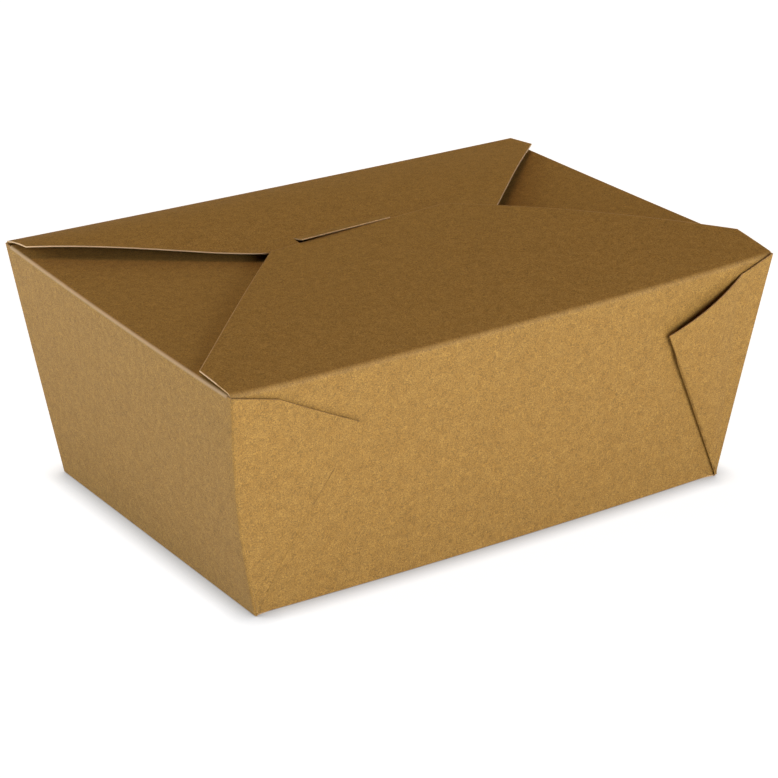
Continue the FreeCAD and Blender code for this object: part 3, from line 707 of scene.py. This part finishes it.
def tongue_grid():
    """The tongue dives evenly from the rear edge to two layers below the back flap.

    Its half width is less the corner's radius minus the root of (radius squared minus the way into the
    corner squared), which rounds it.
    """
    along = np.linspace(0, 1, 20)[:, None] * TONGUE_LENGTH
    inset = TONGUE_CORNER - np.sqrt(np.clip(TONGUE_CORNER ** 2 - np.clip(
        along - TONGUE_LENGTH + TONGUE_CORNER, 0, None) ** 2, 0, None))
    x = TONGUE_OFFSET + np.linspace(-1, 1, 24) * (TONGUE_WIDTH / 2 - inset)
    y = np.broadcast_to(REAR_Y + along, x.shape)
    above = rear_height(x)
    below = back_flap_height(x, y) - STACK
    share = np.clip(along / (LOCK_Y - REAR_Y), 0, 1)
    return np.stack([x, y, above + (below - above) * share], axis=-1)


tongue = make_board("tongue", tongue_grid(), (0, 0, 1))
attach(tongue, "front_flap")

# %% [markdown]
# ## Back wall, back flap and tab
# The back flap folds down before the front one. A slit in it makes a small tab, which the tongue lifts on
# its way under. A Boolean could cut the slit, but it leaves ragged faces in thin board. Here the grid has
# columns at the slit's two ends and rows at its two sides, and the faces between them are left out. The
# tab is a grid of its own in that window, bent up by the two layers of the tongue.

# %% Back wall and flap
BACK_RADIUS = 1.4
BACK_SHOULDER, BACK_TIPS = 14.5, (-6.3, 49.8)
SLIT_LEFT, SLIT_RIGHT, SLIT_MARGIN = -22.6, 15.8, 3
SIDE_COLUMNS, SLIT_COLUMNS = 39, 29
BACK_RUN = BACK_Y - TIP_Y
slit_rows = (BACK_Y - np.array([LOCK_Y, REAR_Y])) / BACK_RUN
back_rows = np.unique(np.round(np.concatenate([np.linspace(0, 1, 70), slit_rows,
                                               [BACK_SHOULDER / BACK_RUN]]), 9))
back_wall_rows = wall_heights(RIM_HEIGHT, 40) / RIM_HEIGHT
x_line = BACK_ENDS[0] + (BACK_ENDS[1] - BACK_ENDS[0]) * across
(wall_out, wall_z), (arc_out, arc_z) = wall_and_arc(
    back_wall_rows, back_crease_height(x_line), BACK_RADIUS, LONG_FACE, TIP_Y,
    back_flap_height(x_line, TIP_Y), between(BACK_BOW, x_line))
x_wall = wall_x(wall_z, BACK_ENDS)
wall_grid = bow_out(strip_points(x_wall, wall_out, wall_z, 1))
arc_grid = strip_points(x_line, arc_out, arc_z, 1)
back_wall = make_board("back_wall", np.concatenate([wall_grid[:-1], arc_grid]), (0, 1, 0))
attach(back_wall, "carton")

flap_along = back_rows * BACK_RUN
left_x, right_x = edges_of_flap(flap_along, BACK_SHOULDER, BACK_RUN, BACK_ENDS, BACK_TIPS)
slit_l = np.maximum(SLIT_LEFT, left_x + SLIT_MARGIN)
slit_r = np.minimum(SLIT_RIGHT, right_x - SLIT_MARGIN)
x_flap = np.concatenate([left_x[:, None],
                         np.linspace(left_x + EDGE_MM, slit_l, SIDE_COLUMNS, axis=1)[:, :-1],
                         np.linspace(slit_l, slit_r, SLIT_COLUMNS + 1, axis=1)[:, :-1],
                         np.linspace(slit_r, right_x - EDGE_MM, SIDE_COLUMNS, axis=1),
                         right_x[:, None]], axis=1)
y_flap = np.broadcast_to((BACK_Y - flap_along)[:, None], x_flap.shape)
flap_grid = np.stack([x_flap, y_flap, back_flap_height(x_flap, y_flap)], axis=-1)
# the flap's first row lies on the last row of the crease's arc
flap_grid[0, :, 1] = np.interp(x_flap[0], x_line, arc_grid[-1, :, 1])
flap_grid[0, :, 2] = np.interp(x_flap[0], x_line, arc_grid[-1, :, 2])
middle = (back_rows[:-1] + back_rows[1:]) / 2
in_slit = (middle > slit_rows[0]) & (middle < slit_rows[1])
keep = np.ones((len(back_rows) - 1, x_flap.shape[1] - 1), bool)
keep[np.ix_(in_slit, SIDE_COLUMNS + np.arange(SLIT_COLUMNS))] = False
flap_wear_and_highlight = np.zeros(flap_grid.shape[:2])
flap_wear_and_highlight[:, [0, -1]] = EDGE_WEAR
back_flap = make_board("back_flap", flap_grid, (0, 0, 1), keep=keep, wear_and_highlight=[flap_wear_and_highlight])
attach(back_flap, "carton")

# %% Tab
# how much more than two layers the tab's front edge is lifted, at its left and at its right
TAB_LIFT = (0.5, -0.2)
tab_y = np.linspace(LOCK_Y, REAR_Y + SLIT_GAP, 8)[:, None]
tab_x = np.linspace(SLIT_LEFT + SLIT_GAP, SLIT_RIGHT - SLIT_GAP, 40)
tab_x, tab_y = np.broadcast_arrays(tab_x, tab_y)
tab_share = (tab_x - SLIT_LEFT) / (SLIT_RIGHT - SLIT_LEFT)
tab_lift = (STACK + TAB_LIFT[0] + (TAB_LIFT[1] - TAB_LIFT[0]) * tab_share) * (LOCK_Y - tab_y)
tab_lift /= LOCK_Y - REAR_Y - SLIT_GAP
tab_grid = np.stack([tab_x, tab_y, back_flap_height(tab_x, tab_y) + tab_lift], axis=-1)
tab = make_board("lock_tab", tab_grid, (0, 0, 1))
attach(tab, "carton")

# %% [markdown]
# ## The two ends
# Each end of the box is one sheet in four regions: the short wall with a soft corner at either side, the
# end flap over its ridge, and the two corner webs. Four separate pieces would show a crack at each fold
# when seen close, so the grids share their points along the folds and are welded into one sheet.
#
# The ridge is a tight fold. The outer fibres stretch there and show as a pale line, which is also a
# painted highlight for the light that the fold catches. The flap narrows to its tip and droops, because
# nothing holds it up.

# %% Short wall and end flap
END_FLAP_LENGTH, END_FLAP_TIP, END_FLAP_SHOULDER, END_FLAP_INSET = 78.0, 84.0, 10.0, 3.5
END_FLAP_HALF = RIM_WIDTH / 2 - END_FLAP_INSET
END_FLAP_DROOP = np.radians(1.9)
# how pale the ridge's line is: stretched fibres and a painted highlight
RIDGE_WEAR_AND_HIGHLIGHT = 0.75
# the wall's two corners go up to here, beside the ridge, which starts lower
CORNER_TOP = RIM_HEIGHT - 0.1
WALL_ROWS = wall_heights(CORNER_TOP, 44)
END_COLUMNS = 60


def end_wall():
    """The right short wall, round the front corner's arc, along the wall and round the back corner's.

    Each corner is its arc's centre plus radius times cosine and sine, and the radius shrinks to nothing
    in the base fold as the root of (radius squared minus the depth below it squared).
    """
    turn = np.linspace(np.pi / 2, 0, FOLD_STEPS + 1)
    top_in = wall_reach(TRAY_HEIGHT, LEAN_Y, BASE_WIDTH / 2) - FOLD_RADIUS
    share = np.linspace(-1, 1, END_COLUMNS) * END_FLAP_HALF / top_in
    share = np.concatenate([[-1.0, share[0] - 0.001], share, [share[-1] + 0.001, 1.0]])
    top = np.full(len(share), TRAY_HEIGHT)
    top[[0, 1, -2, -1]] = CORNER_TOP
    corner = np.full(FOLD_STEPS, CORNER_TOP)
    top = np.concatenate([corner, top, corner])
    above = np.clip(WALL_ROWS[:, None] - FOLD_RADIUS, 0, None) / (CORNER_TOP - FOLD_RADIUS)
    z = np.minimum(WALL_ROWS[:, None], FOLD_RADIUS) + above * (top - FOLD_RADIUS)
    radius = np.sqrt(np.clip(FOLD_RADIUS ** 2 - np.clip(FOLD_RADIUS - z, 0, None) ** 2, 0, None))
    mid_x = wall_reach(z, LEAN_X, BASE_LENGTH / 2) - radius
    mid_y = wall_reach(z, LEAN_Y, BASE_WIDTH / 2) - radius
    turns = np.concatenate([turn[:-1], np.zeros(len(share)), turn[::-1][1:]])
    sides = np.concatenate([np.full(FOLD_STEPS, -1.0), share, np.full(FOLD_STEPS, 1.0)])
    y = sides * mid_y + np.sign(sides) * radius * np.sin(turns)
    return np.stack([mid_x + radius * np.cos(turns), y, z], axis=-1)


def end_flap():
    """The right end flap: a ridge arc from the wall's normal to its own, then straight to its tip."""
    lean = np.arctan(LEAN_X)
    bend = np.linspace(-lean, np.pi / 2 + END_FLAP_DROOP, 12)
    centre_x = BASE_LENGTH / 2 + LEAN_X * TRAY_HEIGHT - RIDGE_RADIUS / SLANT_X
    centre_z = TRAY_HEIGHT + RIDGE_RADIUS * LEAN_X / SLANT_X
    distance = np.linspace(0, END_FLAP_LENGTH, 40)
    distance = np.unique(np.concatenate([distance, [END_FLAP_SHOULDER]]))[1:]
    droop_cos, droop_sin = np.cos(END_FLAP_DROOP), np.sin(END_FLAP_DROOP)
    x = centre_x + np.concatenate([RIDGE_RADIUS * np.cos(bend),
                                   -RIDGE_RADIUS * droop_sin - distance * droop_cos])
    z = centre_z + np.concatenate([RIDGE_RADIUS * np.sin(bend),
                                   RIDGE_RADIUS * droop_cos - distance * droop_sin])
    narrow = np.clip((distance - END_FLAP_SHOULDER) / (END_FLAP_LENGTH - END_FLAP_SHOULDER), 0, 1)
    half = np.concatenate([np.full(len(bend), END_FLAP_HALF),
                           END_FLAP_HALF + (END_FLAP_TIP / 2 - END_FLAP_HALF) * narrow])
    y = half[:, None] * np.linspace(-1, 1, END_COLUMNS)
    # the ridge's pale line, strongest in the middle of the arc: stretched fibres and a painted highlight
    wear_and_highlight = np.zeros_like(y)
    wear_and_highlight[:len(bend)] = (RIDGE_WEAR_AND_HIGHLIGHT * np.sin(np.linspace(0, np.pi, len(bend))) ** 2)[:, None]
    x, z = (np.broadcast_to(v[:, None], y.shape) for v in (x, z))
    return np.stack([x, y, z], axis=-1), wear_and_highlight


# %% [markdown]
# ## Corner webs
# At each corner the sheet has a web: a wedge between a short wall and a long wall. It folds back on
# itself along its diagonal, so two layers lie flat on the long wall. On the flat sheet a point is given
# by its distance along the diagonal and its distance to the side of it. Folding keeps the first, and
# turns the second into a half turn with a small radius: before it the outer layer, after it the inner.
# Two flat triangles would look alike from far away, but they would end in sharp open edges.
# The near right web has sprung off its wall, as a cone from the base corner, so it stays a sheet that
# could lie flat.

# %% Web geometry
WEB_FOLD_RADIUS = LAYER / 2
# the fold's radius grows from the base corner and is full at this share of the height
WEB_EASE = 0.2
# the inner layer is cut a little shorter, so that it doesn't show past the outer one
INNER_CUT_BACK = 0.01
KINK_COLUMNS = 11
# columns this far from the tip in mm, close together where the sheet turns
NEAR_TIP_MM = [8, 5, 3, 2, 1.4, 1.0, 0.7, 0.5, 0.35, 0.2, 0.1, 0]
# by end and by side: where the cut edge has its tip and its kink (x, z), and how far it is off the wall
WEBS = {
    (-1, -1): dict(tip=(61.2, 65.6), kink=(92.4, 82.2), spring=0.1, tip_lift=0.0),
    (1, -1): dict(tip=(66.0, 65.8), kink=(97.2, 81.9), spring=2.3, tip_lift=1.3),
    (-1, 1): dict(tip=(61.2, 65.6), kink=(93.0, 81.4), spring=0.3, tip_lift=0.1),
    (1, 1): dict(tip=(61.2, 65.6), kink=(93.0, 81.4), spring=0.4, tip_lift=0.2),
}


def web_grid(front, tip, kink, spring, tip_lift):
    """The right-hand web as rays from the base corner to its cut edge, and back on the inner layer.

    The cut edge goes from the rim's corner over the kink to the tip. Beside the diagonal a point is at
    radius times (a quarter turn less the sine of its turn), and further on at its flat distance. Its
    depth is radius less radius times the cosine of its turn, less the spring's lift, which grows along
    the ray.
    """
    apex = np.array([BASE_LENGTH / 2, 0])
    foot = apex - [FOLD_RADIUS, 0]
    top_corner = np.array([foot[0] + LEAN_X * CORNER_TOP, CORNER_TOP * SLANT_Y])
    kink, tip = (np.array([place[0], place[1] * SLANT_Y]) for place in (kink, tip))
    near_tip = np.array(NEAR_TIP_MM) / np.linalg.norm(tip - kink)
    shares = np.concatenate([np.linspace(0, 1 - near_tip[0], 16)[:-1], 1 - near_tip])
    before_kink = np.linspace(0, 1, KINK_COLUMNS + 1)[:-1]
    edge = np.concatenate([top_corner + (kink - top_corner) * before_kink[:, None],
                           kink + (tip - kink) * shares[:, None]])
    past_kink = np.concatenate([np.zeros(KINK_COLUMNS), shares])
    lift = 4 * spring * past_kink * (1 - past_kink) + tip_lift * past_kink
    along_unit = (tip - apex) / np.linalg.norm(tip - apex)
    side_unit = np.array([along_unit[1], -along_unit[0]])
    rays = (WALL_ROWS[FOLD_STEPS:] / CORNER_TOP)[:, None]
    flat = (foot - apex) + (edge - foot)[None] * rays[..., None]
    along, beside = flat @ along_unit, np.clip(flat @ side_unit, 0, None)
    # cut back in full up to the last fifth of the way to the tip, and not at all at the tip
    shorter = 1 - INNER_CUT_BACK * np.clip((1 - past_kink) * 5, 0, 1)
    beside = np.concatenate([beside, -(beside * shorter)[:, ::-1][:, 1:]], axis=1)
    along = np.concatenate([along, (along * shorter)[:, ::-1][:, 1:]], axis=1)
    lift = np.concatenate([lift, lift[::-1][1:]])
    radius = WEB_FOLD_RADIUS * np.clip(rays / WEB_EASE, 0.05, 1)
    turn = np.clip((np.pi / 2 * radius - beside) / radius, 0, np.pi)
    flat_part = np.clip(np.abs(beside) - np.pi / 2 * radius, 0, None)
    distance = radius * (np.pi / 2 - np.sin(turn)) + flat_part
    depth = radius - radius * np.cos(turn) - lift * rays
    plane = apex + along[..., None] * along_unit + distance[..., None] * side_unit
    z = plane[..., 1] / SLANT_Y + depth * LEAN_Y / SLANT_Y
    out = BASE_WIDTH / 2 + LEAN_Y * plane[..., 1] / SLANT_Y - depth / SLANT_Y
    return np.stack([plane[..., 0], front * out, z], axis=-1)


# %% Build both ends
for side, name in ((-1, "left"), (1, "right")):
    flap, flap_wear_and_highlight = end_flap()
    grids = [end_wall(), flap, web_grid(-1, **WEBS[side, -1]), web_grid(1, **WEBS[side, 1])]
    wear_and_highlight = [np.zeros(grid.shape[:2]) for grid in grids]
    wear_and_highlight[1] = flap_wear_and_highlight
    settled = [end_settle(grid * [side, 1, 1]) for grid in grids]
    sheet = make_board(f"end_{name}", settled, (side, 0, 0), wear_and_highlight=wear_and_highlight)
    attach(sheet, "carton")
